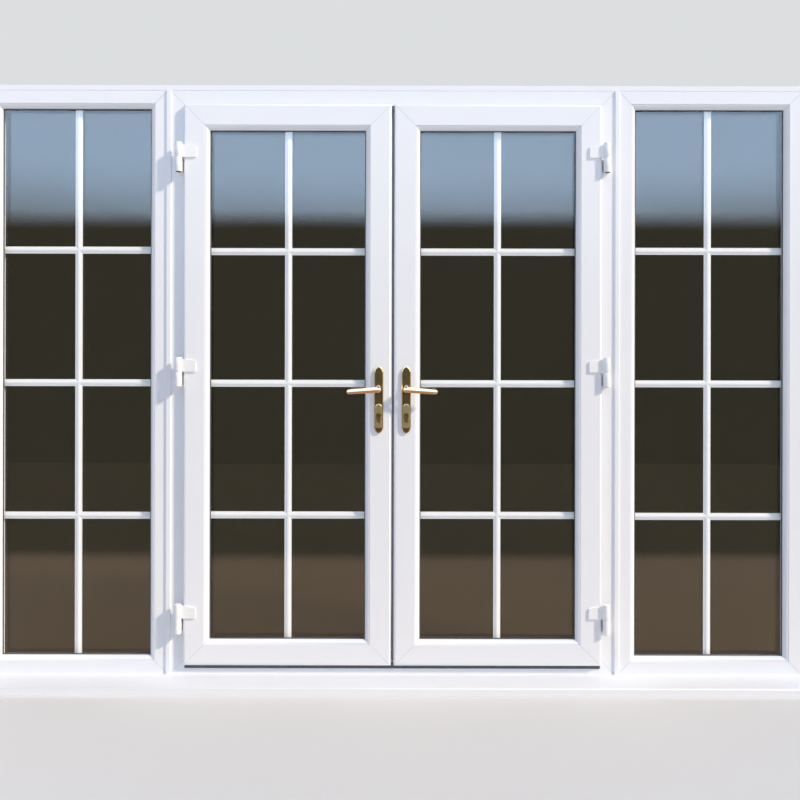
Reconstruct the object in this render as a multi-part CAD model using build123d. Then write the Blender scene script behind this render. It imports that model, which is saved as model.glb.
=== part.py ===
from build123d import *
import os

# French doors: two outward opening leaves in a frame, a fixed sidelight each side, one sill.
# X runs along the wall with its zero between the leaves. Y runs from outside to inside, with
# its zero on the outer face of the frames. Z is up, with its zero under the sill. All in mm.

# Overall sizes
door_frame_width = 1600.0
sidelight_width = 660.0
overall_height = 2150.0
frame_depth = 70.0

# Sill
sill_height = 36.0
sill_projection = 110.0
sill_nose_height = 26.5
sill_ledge = 12.0
sill_ledge_drop = 1.5
sill_wall = 3.0
sill_nose_radius = 4.0
sill_chamber_pitch = 40.0
drip_groove_width = 4.0
drip_groove_depth = 1.8
drip_groove_inset = 14.0
end_cap_thickness = 3.0

# How far a cut runs past the face it starts from, and how near two corners count as one
over_cut = 1.0
same_corner = 0.01

# Head extension and couplers
head_extension_height = 20.0
head_extension_groove = 1.5
coupler_web = 10.0
coupler_strip_width = 18.0
coupler_strip_proud = 6.0
coupler_strip_radius = 3.0

# Door frame section
frame_face = 62.0
threshold_face = 45.0
upstand_height = 20.0
upstand_depth = 20.0
frame_edge_radius = 2.0

# Leaf section
leaf_gap = 10.0
leaf_overlap = 9.0
leaf_seal_gap = 4.0
flange_thickness = 20.0
leaf_depth = 70.0
leaf_body_inset = 21.0
leaf_edge_radius = 10.0
leaf_sight = 92.0
groove_width = 16.0
groove_depth = 6.0
groove_setback = 17.0

# Glazing
glazing_bevel = 17.0
bevel_depth = 14.0
bevel_bulge = 2.2
bevel_quirk = 1.0
lip_thickness = 17.0
glazing_rebate = 20.0
glass_cover = 14.0
glass_thickness = 4.0
cavity = 20.0
gasket_thickness = 3.0
gasket_width = 7.0
gasket_show = 3.5
bead_tip = 4.0
spacer_width = 8.0
spacer_cover = 2.0

# Georgian bars
bar_width = 25.0
bar_edge = 4.0
bar_thickness = 11.0
bar_crown = 5.0
bar_flat_edge = 2.0
bar_centre_height = 1079.0
leaf_bar_pitch = 474.0
sidelight_bar_pitch = 481.0

# Weld grooves at the mitred corners
weld_groove_width = 2.4
weld_groove_depth = 0.5
groove_edge_gap = 1.0
weld_groove_stop = 2.0

# Hinges
hinge_bottom_inset = 170.0
hinge_top_inset = 192.0
hinge_middle_share = 0.535
hinge_axis_outset = 15.0
hinge_axis_forward = 8.0
knuckle_radius = 12.0
knuckle_length = 52.0
knuckle_gap = 0.6
bracket_edge = 1.5
pin_radius = 5.0
pin_clearance = 0.08
pin_drive_fit = 0.02
pin_wall = 6.0
pin_end_gap = 0.5
flag_reach = 46.0
flag_thickness = 6.0
flag_tip_height = 37.0
flag_tip_corner = 9.0
flag_tip_rise = 3.0
flag_shoulder = 5.0
bracket_width = 20.0

# Handles
handle_setback = 44.0
spindle_height = 987.0
cylinder_drop = 92.0
plate_length = 238.0
plate_width = 32.5
plate_thickness = 9.0
plate_shoulder = 20.0
plate_tip = 7.5
plate_tip_width = 6.0
plate_facet_width = 23.0
plate_bevel_depth = 2.0
plate_bevel_width = 2.6
plate_drop = 37.0
hood_above = 41.0
hood_below = 44.0
hood_width = 24.5
hood_proud = 2.5
hood_bevel = 1.75
lever_projection = 53.0
lever_length = 112.0
lever_height = 20.0
lever_tip_height = 17.0
lever_thickness = 13.0
lever_droop = 7.0
lever_neck_radius = 10.0
lever_root_radius = 7.0
lever_root_rise = 9.0
lever_root_gap = 0.5
lever_root_bevel = 2.0
arc_facets = 6
lever_ridge = 5.5
lever_back_share = 0.7
lever_heel = 9.0
lever_heel_share = 0.6
lever_tip_run = 6.0
lever_tip_share = 0.3
lever_clearance = 0.3
spindle_side = 8.0
spindle_engagement = 22.0

# Key cylinder of the euro shape
cylinder_radius = 8.5
cylinder_web = 10.0
cylinder_height = 33.0
cylinder_proud = 2.0
cylinder_clearance = 0.4
keyway_width = 2.4
keyway_height = 9.0
keyway_depth = 6.0
keyway_drop = 1.0

# Lock strips, gear cases, bolts
strip_thickness = 3.0
strip_end_gap = 90.0
case_above_latch = 12.0
case_below_cylinder = 15.0
case_depth = 15.0
case_back = 16.0
case_clearance = 0.3
rib_clearance = 1.0
follower_radius = 6.4
latch_height = 30.0
latch_thickness = 11.0
latch_out = 12.0
latch_length = 34.0
latch_above = 40.0
latch_draw = 12.0
latch_nose = 2.0
lever_up_angle = 35.0
lever_down_angle = 40.0
locking_bar_width = 8.0
locking_bar_thickness = 2.0
locking_bar_lift = 18.0
locking_bar_link = 1.4
locking_bar_bridge = 6.0
locking_bar_margin = 2.0
roller_radius = 3.8
roller_out = 8.0
roller_shares_below = (0.868, 0.434)
roller_shares_above = (0.364, 0.772)
bolt_radius = 4.5
bolt_length = 160.0
bolt_throw = 20.0
bolt_end_gap = 1.0
bolt_setback = 12.0
bolt_clearance = 0.35
keep_thickness = 3.0
keep_length = 60.0
keep_width = 22.0
keep_slot_length = 22.0
keep_slot_width = 11.0

# Floating mullion and meeting seal on the right leaf
mullion_centre_gap = 1.0
mullion_lap = 6.0
mullion_cover = 4.0
mullion_edge = 2.4
mullion_front_gap = 2.0
mullion_cover_gap = 1.5
meeting_seal_reach = 4.0
meeting_seal_root = 9.0
seal_clearance = 0.3
seal_inset = 1.5
seal_fin_drop = 15.0

# Worked out from the sizes above
frame_bottom = sill_height
frame_top = overall_height - head_extension_height
half_door = door_frame_width / 2
sidelight_inner = half_door + coupler_web
sidelight_outer = sidelight_inner + sidelight_width
half_width = sidelight_outer
sight_half = half_door - frame_face
leaf_outer = sight_half + leaf_overlap
leaf_bottom = frame_bottom + threshold_face - leaf_overlap
leaf_top = frame_top - frame_face + leaf_overlap
leaf_back = -leaf_seal_gap
leaf_front = leaf_back - flange_thickness
leaf_inside = leaf_front + leaf_depth
hinge_axis_x = leaf_outer + hinge_axis_outset
hinge_axis_y = leaf_front - hinge_axis_forward
spindle_z = leaf_bottom + spindle_height
cylinder_z = spindle_z - cylinder_drop
handle_x = leaf_gap / 2 + handle_setback
plate_top = spindle_z + plate_length / 2 - plate_drop
groove_low = leaf_back + groove_setback
groove_mid = groove_low + groove_width / 2
body_edge_x = leaf_gap / 2 + leaf_body_inset
lock_face_x = body_edge_x + groove_depth
latch_z = spindle_z + latch_above
press_share = lever_down_angle / lever_up_angle


def box_between(low, high):
    """A box from its lowest to its highest corner."""
    size = [h - l for l, h in zip(low, high)]
    middle = [(l + h) / 2 for l, h in zip(low, high)]
    return Pos(*middle) * Box(*size)


def rod(radius, start, length, direction=(0, 0, 1)):
    """A round bar from a start point along a direction."""
    return extrude(Plane(origin=start, z_dir=direction) * Circle(radius), length)


def section_of(*pieces):
    """A closed section from runs of points and arcs, given in order round the outline."""
    outline = Curve()
    for piece in pieces:
        outline += Polyline(*piece) if isinstance(piece, list) else piece
    return make_face(outline)


def polygon(points):
    """A section with straight sides only."""
    return make_face(Polyline(*points, close=True))


def rounded(face, radius, *corners):
    """The same section with a radius at the corners that lie at the given points."""
    chosen = [
        vertex
        for vertex in face.vertices()
        if any((Vector(vertex.X, vertex.Y) - Vector(*corner)).length < same_corner for corner in corners)
    ]
    return fillet(chosen, radius)


def member(section, length, mitre_start=True, mitre_end=True):
    """A bar of one section (u across, y deep) along Z, cut at 45 degrees at its mitred ends."""
    reach = section.bounding_box().max.X + over_cut
    start = reach if mitre_start else 0
    end = reach if mitre_end else 0
    trapezium = polygon([(0, 0), (reach, start), (reach, length - end), (0, length)])
    cutter = extrude(Plane.XZ * trapezium, 3 * leaf_depth, both=True)
    return extrude(section, length) & cutter


def side_members(section, x_low, x_high, z_low, z_high, mitre_bottom=True):
    """The left and right upright of a frame, with the section's zero on the outer edge."""
    height = z_high - z_low
    left = Plane(origin=(x_low, 0, z_low), x_dir=(1, 0, 0), z_dir=(0, 0, 1))
    right = Plane(origin=(x_high, 0, z_high), x_dir=(-1, 0, 0), z_dir=(0, 0, -1))
    return [
        left * member(section, height, mitre_bottom, True),
        right * member(section, height, True, mitre_bottom),
    ]


def rail_member(section, x_low, x_high, z_edge, upward):
    """A rail whose section grows upward from its lower edge, or downward from its upper edge."""
    if upward:
        place = Plane(origin=(x_high, 0, z_edge), x_dir=(0, 0, 1), z_dir=(-1, 0, 0))
    else:
        place = Plane(origin=(x_low, 0, z_edge), x_dir=(0, 0, -1), z_dir=(1, 0, 0))
    return place * member(section, x_high - x_low)


def ring(section, x_low, x_high, z_low, z_high):
    """A mitred and welded frame of one section."""
    left, right = side_members(section, x_low, x_high, z_low, z_high)
    bottom = rail_member(section, x_low, x_high, z_low, True)
    top = rail_member(section, x_low, x_high, z_high, False)
    return left + bottom + right + top


def flat_ring(x_low, x_high, z_low, z_high, y_low, y_high, width):
    """A plain square-edged ring, such as a seal or a spacer, by its outer edges."""
    outer = box_between((x_low, y_low, z_low), (x_high, y_high, z_high))
    hole = box_between(
        (x_low + width, y_low - over_cut, z_low + width),
        (x_high - width, y_high + over_cut, z_high - width),
    )
    return outer - hole


def weld_grooves(x_low, x_high, z_low, z_high, flat_from, flat_to, faces, corners):
    """Fine grooves along the mitres of a welded frame, on its flat faces (y, inward direction)."""
    cutters = []
    start = flat_from * 2**0.5
    end = (flat_to - weld_groove_stop) * 2**0.5
    for x_edge, z_edge, turn in corners_of(x_low, x_high, z_low, z_high, corners):
        for face_y in faces:
            bar = box_between(
                (start, -weld_groove_depth, -weld_groove_width / 2),
                (end, weld_groove_depth, weld_groove_width / 2),
            )
            cutters.append(Pos(x_edge, face_y, z_edge) * Rot(0, turn, 0) * bar)
    return cutters


def corners_of(x_low, x_high, z_low, z_high, names):
    """Each named corner with the turn about Y that points from it into the frame."""
    table = {
        "bottom_left": (x_low, z_low, -45),
        "bottom_right": (x_high, z_low, -135),
        "top_right": (x_high, z_high, 135),
        "top_left": (x_low, z_high, 45),
    }
    return [table[name] for name in names]


all_corners = ("bottom_left", "bottom_right", "top_right", "top_left")
head_corners = ("top_right", "top_left")


def lip_edge(front, sight):
    """The moulded inner edge of a glazing lip: a small quirk, then a swelling slope."""
    start = sight - glazing_bevel
    top = (start, front + bevel_quirk)
    end = (sight, front + bevel_depth)
    length = (glazing_bevel**2 + (bevel_depth - bevel_quirk) ** 2) ** 0.5
    middle = (
        (top[0] + end[0]) / 2 + bevel_bulge * (bevel_depth - bevel_quirk) / length,
        (top[1] + end[1]) / 2 - bevel_bulge * glazing_bevel / length,
    )
    return [(start, front), top], ThreePointArc(top, middle, end), end


def sash_section():
    """The leaf profile: outer flange, moulded lip, glazing rebate, body with hardware groove."""
    quirk, slope, tip = lip_edge(leaf_front, leaf_sight)
    lip_back = leaf_front + lip_thickness
    floor = leaf_sight - glazing_rebate
    groove_high = groove_low + groove_width
    groove_bottom = leaf_body_inset + groove_depth
    face = section_of(
        [(0, leaf_front), *quirk],
        slope,
        [
            tip,
            (leaf_sight, lip_back),
            (floor, lip_back),
            (floor, leaf_inside),
            (leaf_body_inset, leaf_inside),
            (leaf_body_inset, groove_high),
            (groove_bottom, groove_high),
            (groove_bottom, groove_low),
            (leaf_body_inset, groove_low),
            (leaf_body_inset, leaf_back),
            (0, leaf_back),
            (0, leaf_front),
        ],
    )
    return rounded(face, leaf_edge_radius, (0, leaf_front))


def sidelight_section():
    """The fixed light profile: the same lip and rebate in a plain rectangular body."""
    quirk, slope, tip = lip_edge(0, frame_face)
    floor = frame_face - glazing_rebate
    return section_of(
        [(0, 0), *quirk],
        slope,
        [
            tip,
            (frame_face, lip_thickness),
            (floor, lip_thickness),
            (floor, frame_depth),
            (0, frame_depth),
            (0, 0),
        ],
    )


def door_frame_section(face):
    """The door frame profile: a body with an upstand behind the leaf."""
    step = frame_depth - upstand_depth
    outline = polygon(
        [
            (0, 0),
            (face, 0),
            (face, step),
            (face + upstand_height, step),
            (face + upstand_height, frame_depth),
            (0, frame_depth),
        ]
    )
    return rounded(
        outline, frame_edge_radius, (face, 0), (face + upstand_height, frame_depth)
    )


def bead_section(front, back, sight):
    """A glazing bead that stands on the rebate floor and slopes to a thin tip at the glass."""
    floor = sight - glazing_rebate
    tip = (sight, front + bead_tip)
    heel = (sight - glazing_bevel, back)
    middle = (
        (tip[0] + heel[0]) / 2 + bevel_bulge / 2**0.5,
        (tip[1] + heel[1]) / 2 + bevel_bulge / 2**0.5,
    )
    return section_of(
        [(floor, front), (sight, front), tip],
        ThreePointArc(tip, middle, heel),
        [heel, (floor, back), (floor, front)],
    )


def bar_section():
    """A contoured georgian bar: thin edges that rise to a flat crown on both sides."""
    half = bar_width / 2
    edge = bar_edge / 2
    thick = bar_thickness / 2
    crown = bar_crown / 2
    slope = half - bar_flat_edge
    side = [(-half, edge), (-slope, edge), (-crown, thick), (crown, thick), (slope, edge), (half, edge)]
    return polygon(side + [(u, -v) for u, v in reversed(side)])


def glazed_unit(x_low, x_high, z_low, z_high, sight, lip_back, bead_back, bar_pitch):
    """Everything between a frame's lip and its beads, from the frame's outer edges."""
    glass_front = lip_back + gasket_thickness
    cavity_front = glass_front + glass_thickness
    cavity_back = cavity_front + cavity
    glass_back = cavity_back + glass_thickness
    bead_front = glass_back + gasket_thickness
    edge = sight - glass_cover

    def pane(front):
        return box_between(
            (x_low + edge, front, z_low + edge),
            (x_high - edge, front + glass_thickness, z_high - edge),
        )

    spacer_edge = edge + spacer_cover
    spacer = flat_ring(
        x_low + spacer_edge,
        x_high - spacer_edge,
        z_low + spacer_edge,
        z_high - spacer_edge,
        cavity_front,
        cavity_back,
        spacer_width,
    )
    reach = spacer_edge + spacer_width
    middle_x = (x_low + x_high) / 2
    middle_y = (cavity_front + cavity_back) / 2
    upright = Pos(middle_x, middle_y, z_low + reach) * extrude(
        bar_section(), z_high - z_low - 2 * reach
    )
    grid = spacer + upright
    for row in (-1, 0, 1):
        height = bar_centre_height + row * bar_pitch
        place = Plane(origin=(x_low + reach, middle_y, height), x_dir=(0, 0, -1), z_dir=(1, 0, 0))
        grid += place * extrude(bar_section(), x_high - x_low - 2 * reach)

    gasket_edge = sight + gasket_show - gasket_width
    gaskets = [
        flat_ring(
            x_low + gasket_edge,
            x_high - gasket_edge,
            z_low + gasket_edge,
            z_high - gasket_edge,
            front,
            front + gasket_thickness,
            gasket_width,
        )
        for front in (lip_back, glass_back)
    ]
    return {
        "outer_pane": pane(glass_front),
        "inner_pane": pane(cavity_back),
        "bar_grid": grid,
        "gasket": Compound(children=gaskets),
        "beads": ring(bead_section(bead_front, bead_back, sight), x_low, x_high, z_low, z_high),
    }


def cylinder_outline(clearance=0.0):
    """The euro cylinder outline in the wall's plane, round at the top with a narrower tail."""
    radius = cylinder_radius + clearance
    tail = cylinder_web / 2 + clearance
    drop = cylinder_height - cylinder_radius - tail + clearance
    tail_box = Pos(0, -drop / 2) * Rectangle(2 * tail, drop)
    return Circle(radius) + tail_box + Pos(0, -drop) * Circle(tail)


def through_wall(outline, x, z, y_low, y_high):
    """An outline drawn in the wall's plane and carried through from y_low to y_high."""
    plane = Plane(origin=(x, y_high, z), x_dir=(1, 0, 0), z_dir=(0, -1, 0))
    return extrude(plane * outline, y_high - y_low)


def spindle_bar(x, y_low, y_high, side):
    """The square bar, or its hole, through the leaf at the lever's axis."""
    return through_wall(Rectangle(side, side), x, spindle_z, y_low, y_high)


def sash(side):
    """One leaf's welded frame, with the holes for its lock, handle and bolts."""
    x_low, x_high = leaf_span(side)
    body = ring(sash_section(), x_low, x_high, leaf_bottom, leaf_top)
    edge = leaf_edge_radius + groove_edge_gap
    for groove in weld_grooves(
        x_low,
        x_high,
        leaf_bottom,
        leaf_top,
        edge,
        leaf_sight - glazing_bevel,
        [leaf_front],
        all_corners,
    ):
        body -= groove
    for groove in weld_grooves(
        x_low,
        x_high,
        leaf_bottom,
        leaf_top,
        leaf_body_inset,
        leaf_sight - glazing_rebate,
        [leaf_inside],
        all_corners,
    ):
        body -= groove
    x = side * handle_x
    front, back = leaf_front - over_cut, leaf_inside + over_cut
    body -= through_wall(Circle(follower_radius + case_clearance), x, spindle_z, front, back)
    body -= through_wall(cylinder_outline(cylinder_clearance), x, cylinder_z, front, back)
    body -= gear_case(side, case_clearance)
    if side > 0:
        for bolt in bolt_pair(bolt_clearance, bolt_throw * press_share + over_cut):
            body -= bolt
    return body


def leaf_span(side):
    """The lowest and highest x of a leaf, left of the middle (-1) or right of it (1)."""
    edges = sorted((side * leaf_gap / 2, side * leaf_outer))
    return edges[0], edges[1]


def gear_case(side, clearance=0.0):
    """The closed gear case behind the lock strip, or the pocket that it stands in."""
    near = lock_face_x - (1 if clearance else 0)
    far = handle_x + case_back + clearance
    low_x, high_x = sorted((side * near, side * far))
    low_z = cylinder_z - cylinder_height - case_below_cylinder - clearance
    high_z = latch_z + latch_height / 2 + case_above_latch + clearance
    half = case_depth / 2 + clearance
    return box_between((low_x, groove_mid - half, low_z), (high_x, groove_mid + half, high_z))


def latch_blank(clearance=0.0, travel=0.0):
    """The latch as a plain bar, or the space in the left leaf that it slides in."""
    tip = -(body_edge_x - latch_out)
    height = latch_height / 2 + clearance
    thick = latch_thickness / 2 + clearance
    return box_between(
        (tip - latch_length - travel, groove_mid - thick, latch_z - height),
        (tip, groove_mid + thick, latch_z + height),
    )


def latch():
    """The spring latch with its slanted nose."""
    tip = -(body_edge_x - latch_out)
    low = groove_mid - latch_thickness / 2
    high = groove_mid + latch_thickness / 2
    slant = polygon(
        [
            (tip + over_cut, low - over_cut),
            (tip + over_cut, high + over_cut),
            (tip - latch_out + latch_nose, high + over_cut),
            (tip, low + latch_nose),
        ]
    )
    return latch_blank() - Pos(0, 0, latch_z - latch_height) * extrude(slant, 2 * latch_height)


def roller_heights():
    """The height of each roller cam at rest, as a share of the strip below or above the spindle."""
    low, high = strip_span()
    below = [spindle_z - share * (spindle_z - low) for share in roller_shares_below]
    above = [spindle_z + share * (high - spindle_z) for share in roller_shares_above]
    return below + above


def bar_window():
    """The lowest and highest point of the locking bar's window round the latch."""
    reach = latch_height / 2 + locking_bar_margin
    return (
        latch_z - reach - locking_bar_lift,
        latch_z + reach + locking_bar_lift * press_share,
    )


def locking_bar():
    """The sliding bar behind the left faceplate, with the roller cams that draw the leaf tight."""
    half = locking_bar_width / 2
    back = -(body_edge_x + strip_thickness + seal_clearance + locking_bar_thickness)
    face = back + locking_bar_thickness
    margin = roller_radius + roller_out
    low = roller_heights()[0] - margin
    high = roller_heights()[-1] + margin
    window_low, window_high = bar_window()
    bar = box_between((back, groove_mid - half, low), (face, groove_mid + half, high))
    bar -= box_between(
        (back - over_cut, groove_mid - half - over_cut, window_low),
        (face + over_cut, groove_mid + half + over_cut, window_high),
    )
    edge = groove_mid - latch_thickness / 2 - case_clearance
    bar += box_between(
        (back, edge - locking_bar_link, window_low - locking_bar_bridge),
        (face, edge, window_high + locking_bar_bridge),
    )
    for z in (window_low - locking_bar_bridge, window_high):
        bar += box_between(
            (back, edge - locking_bar_link, z), (face, groove_mid, z + locking_bar_bridge)
        )
    for height in roller_heights():
        start = (face, groove_mid, height)
        bar += rod(roller_radius, start, strip_thickness + seal_clearance + roller_out, (1, 0, 0))
    return bar


def roller_slots():
    """The slots in the left faceplate that the rollers slide in."""
    slots = []
    radius = roller_radius + case_clearance
    for height in roller_heights():
        low = height - locking_bar_lift * press_share - radius
        high = height + locking_bar_lift + radius
        middle = (-body_edge_x - groove_depth, groove_mid, (low + high) / 2)
        plane = Plane(origin=middle, x_dir=(0, 1, 0), z_dir=(1, 0, 0))
        outline = SlotOverall(high - low, 2 * radius, rotation=90)
        slots.append(extrude(plane * outline, groove_depth + over_cut))
    return slots


def bolt_pair(clearance=0.0, travel=0.0):
    """The right leaf's top and bottom shootbolts, drawn back, or the holes that they run in."""
    x = body_edge_x + bolt_setback
    over = bolt_throw if clearance else 0.0
    length = bolt_length + over + travel
    radius = bolt_radius + clearance
    top = leaf_top - leaf_body_inset - bolt_end_gap + over
    bottom = leaf_bottom + leaf_body_inset + bolt_end_gap - over
    upper = rod(radius, (x, groove_mid, top), length, (0, 0, -1))
    lower = rod(radius, (x, groove_mid, bottom), length, (0, 0, 1))
    return upper, lower


def strip_span():
    """The lowest and highest point of a faceplate."""
    inset = leaf_body_inset + strip_end_gap
    return leaf_bottom + inset, leaf_top - inset


def lock_strip(side):
    """The faceplate in the leaf's hardware groove, with the gear case behind it."""
    x_far = side * (body_edge_x + strip_thickness)
    low_x, high_x = sorted((side * body_edge_x, x_far))
    half = groove_width / 2
    strip_low, strip_high = strip_span()
    body = box_between(
        (low_x, groove_mid - half, strip_low), (high_x, groove_mid + half, strip_high)
    )
    body += gear_case(side)
    case_low = cylinder_z - cylinder_height - case_below_cylinder
    rib = case_depth / 2 - locking_bar_width / 2 - rib_clearance
    drop = locking_bar_bridge + locking_bar_lift * press_share + locking_bar_margin
    rib_top = bar_window()[0] - drop
    low_x, high_x = sorted((x_far, side * lock_face_x))
    for y_edge in (groove_mid - case_depth / 2, groove_mid + case_depth / 2 - rib):
        body += box_between(
            (low_x, y_edge, case_low), (high_x, y_edge + rib, rib_top)
        )
    x = side * handle_x
    y_low = groove_mid - case_depth
    y_high = groove_mid + case_depth
    body -= through_wall(Circle(follower_radius), x, spindle_z, y_low, y_high)
    body -= through_wall(cylinder_outline(cylinder_clearance), x, cylinder_z, y_low, y_high)
    if side < 0:
        body -= latch_blank(case_clearance, latch_draw + over_cut)
        for slot in roller_slots():
            body -= slot
    return body


def plate_outline():
    """The long backplate, with faceted ends that close in a blunt point."""
    half_width = plate_width / 2
    half_length = plate_length / 2
    quarter = [
        (half_width, half_length - plate_shoulder),
        (plate_facet_width / 2, half_length - plate_tip),
        (plate_tip_width / 2, half_length),
    ]
    upper = quarter + [(-x, z) for x, z in reversed(quarter)]
    return polygon(upper + [(-x, -z) for x, z in upper])


def facing(inside, x, z, lift=0.0):
    """A plane on the leaf's outer or inner face that looks away from the leaf."""
    if inside:
        return Plane(origin=(x, leaf_inside + lift, z), x_dir=(-1, 0, 0), z_dir=(0, 1, 0))
    return Plane(origin=(x, leaf_front - lift, z), x_dir=(1, 0, 0), z_dir=(0, -1, 0))


def arc_points(rise, radius, start, end):
    """The corners of a faceted arc above a fixture's axis, between two angles."""
    step = (end - start) / arc_facets
    corners = [
        Vector(radius, 0).rotate(Axis.Z, start + step * count) for count in range(arc_facets + 1)
    ]
    return [(corner.X, rise + corner.Y) for corner in corners]


def hood_outline():
    """The raised hood round the cylinder: an arch above and a square end below."""
    half = hood_width / 2
    foot = [(-half, -hood_below), (half, -hood_below)]
    return polygon(foot + arc_points(hood_above - half, half, 0, 180))


def backplate(side, inside):
    """A lever's backplate with its raised hood round the cylinder."""
    x = side * handle_x
    middle = plate_top - plate_length / 2
    plate = extrude(facing(inside, x, middle) * plate_outline(), plate_thickness)
    rim = plate.faces().sort_by(Axis.Y)[-1 if inside else 0].edges()
    plate = chamfer(rim, plate_bevel_depth, plate_bevel_width)
    hood = extrude(facing(inside, x, cylinder_z, plate_thickness) * hood_outline(), hood_proud)
    hood_rim = hood.faces().sort_by(Axis.Y)[-1 if inside else 0].edges()
    plate += chamfer(hood_rim, hood_bevel)
    reach = plate_thickness + hood_proud + over_cut
    if inside:
        y_low, y_high = leaf_inside - over_cut, leaf_inside + reach
    else:
        y_low, y_high = leaf_front - reach, leaf_front + over_cut
    plate -= through_wall(
        Circle(lever_neck_radius + lever_clearance), x, spindle_z, y_low, y_high
    )
    return plate - through_wall(
        cylinder_outline(cylinder_clearance), x, cylinder_z, y_low, y_high
    )


def lever_section(place, along, half_height, drop):
    """The lever's section across its length: a flat back and a front that rises to a ridge."""
    back = lever_projection - lever_thickness
    shoulder = lever_projection - lever_ridge
    heel = half_height * lever_back_share
    outline = polygon(
        [
            (back, -heel),
            (back, heel),
            (shoulder, half_height),
            (lever_projection, 0),
            (shoulder, -half_height),
        ]
    )
    centre = place.from_local_coords(Vector(along, -drop, 0))
    return Plane(origin=centre, x_dir=place.z_dir, z_dir=place.x_dir) * outline


def lever(side, inside):
    """A lever handle: a swelling root, then a ridged bar that drops slightly to a blunt tip."""
    x = side * handle_x
    local = -side if inside else side
    place = facing(inside, x, spindle_z)
    root_start = plate_thickness + lever_root_gap
    root_end = lever_projection - lever_ridge
    neck = extrude(place * Circle(lever_neck_radius), root_start + lever_root_gap)
    half = lever_height / 2
    bowl = arc_points(0, half, 180, 360)
    hump = arc_points(lever_root_rise, lever_root_radius, 0, 180)
    root = extrude(place.offset(root_start) * polygon(bowl + hump), root_end - root_start)
    root_rim = root.faces().sort_by(Axis.Y)[-1 if inside else 0].edges()
    root = chamfer(root_rim, lever_root_bevel)
    stations = [
        (-lever_heel, half * lever_heel_share, 0),
        (lever_heel, half, 0),
        (lever_length - lever_tip_run, lever_tip_height / 2, lever_droop),
        (lever_length, lever_tip_height / 2 * lever_tip_share, lever_droop),
    ]
    bar = loft(
        [
            lever_section(place, local * along, half_height, drop)
            for along, half_height, drop in stations
        ],
        ruled=True,
    )
    body = neck + root + bar
    socket = extrude(place * Rectangle(spindle_side, spindle_side), spindle_engagement)
    return body - socket


def key_cylinder(side):
    """The double euro cylinder, with a keyway at each end."""
    x = side * handle_x
    proud = plate_thickness + hood_proud + cylinder_proud
    low = leaf_front - proud
    high = leaf_inside + proud
    body = through_wall(cylinder_outline(), x, cylinder_z, low, high)
    for y_low, y_high in ((low - over_cut, low + keyway_depth), (high - keyway_depth, high + over_cut)):
        body -= through_wall(
            Rectangle(keyway_width, keyway_height), x, cylinder_z - keyway_drop, y_low, y_high
        )
    return body


def spindle(side):
    """The square bar that joins the two levers through the gear case."""
    x = side * handle_x
    return spindle_bar(
        x, leaf_front - spindle_engagement, leaf_inside + spindle_engagement, spindle_side
    )


def hinge_centres():
    """The height of the middle of each hinge."""
    low = leaf_bottom + hinge_bottom_inset
    high = leaf_top - hinge_top_inset
    return [low, low + (high - low) * hinge_middle_share, high]


def hinge_flags(side):
    """The upper knuckles and the flags that hold the leaf."""
    x = side * hinge_axis_x
    flags = []
    for middle in hinge_centres():
        base = middle + knuckle_gap / 2
        tip_x = side * (leaf_outer - flag_reach)
        plate = polygon(
            [
                (x, base),
                (tip_x, base),
                (tip_x, base + flag_tip_height),
                (tip_x + side * flag_tip_corner, base + flag_tip_height + flag_tip_rise),
                (x, base + knuckle_length - flag_shoulder),
            ]
        )
        leaf_face = Plane(origin=(0, leaf_front, 0), x_dir=(1, 0, 0), z_dir=(0, -1, 0))
        flag = extrude(leaf_face * plate, flag_thickness)
        body = rod(knuckle_radius, (x, hinge_axis_y, base), knuckle_length) + flag
        hole_low = middle - knuckle_length
        body -= rod(
            pin_radius + pin_clearance,
            (x, hinge_axis_y, hole_low),
            2 * knuckle_length + knuckle_gap / 2 - pin_wall,
        )
        flags.append(body)
    return Compound(children=flags)


def hinge_brackets(side):
    """The lower knuckles on their brackets, which stand on the door frame's face."""
    x = side * hinge_axis_x
    brackets = []
    for middle in hinge_centres():
        top = middle - knuckle_gap / 2
        low = top - knuckle_length
        half = bracket_width / 2
        web = box_between(
            (x - half, hinge_axis_y, low + bracket_edge), (x + half, 0, top - bracket_edge)
        )
        body = rod(knuckle_radius, (x, hinge_axis_y, low), knuckle_length) + web
        body -= rod(
            pin_radius + pin_drive_fit,
            (x, hinge_axis_y, low + pin_wall),
            knuckle_length,
        )
        brackets.append(body)
    return Compound(children=brackets)


def hinge_pins(side):
    """The three steel pins, fast in the lower knuckles."""
    x = side * hinge_axis_x
    reach = knuckle_length + knuckle_gap / 2 - pin_wall
    pins = [
        rod(pin_radius, (x, hinge_axis_y, middle - reach), 2 * reach - pin_end_gap)
        for middle in hinge_centres()
    ]
    return Compound(children=pins)


def floating_mullion():
    """The cover that closes the gap between the two leaf bodies, carried by the right leaf."""
    left = mullion_centre_gap
    front = mullion_front_gap
    low = leaf_bottom + leaf_body_inset
    high = leaf_top - leaf_body_inset
    body = box_between((left, front, low), (body_edge_x, leaf_inside, high))
    cover_low = frame_bottom + threshold_face + upstand_height + mullion_cover_gap
    cover_high = frame_top - frame_face - upstand_height - mullion_cover_gap
    cover = box_between(
        (left, leaf_inside, cover_low),
        (body_edge_x + mullion_lap, leaf_inside + mullion_cover, cover_high),
    )
    edges = cover.faces().sort_by(Axis.Y)[-1].edges().filter_by(Axis.Z)
    return body + chamfer(edges, mullion_edge)


def meeting_seal():
    """The soft strip behind the gap between the leaves, on the back of the right leaf's flange."""
    return box_between(
        (-meeting_seal_reach, leaf_back, leaf_bottom + leaf_body_inset),
        (leaf_gap / 2 + meeting_seal_root, 0, leaf_top - leaf_body_inset),
    )


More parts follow.
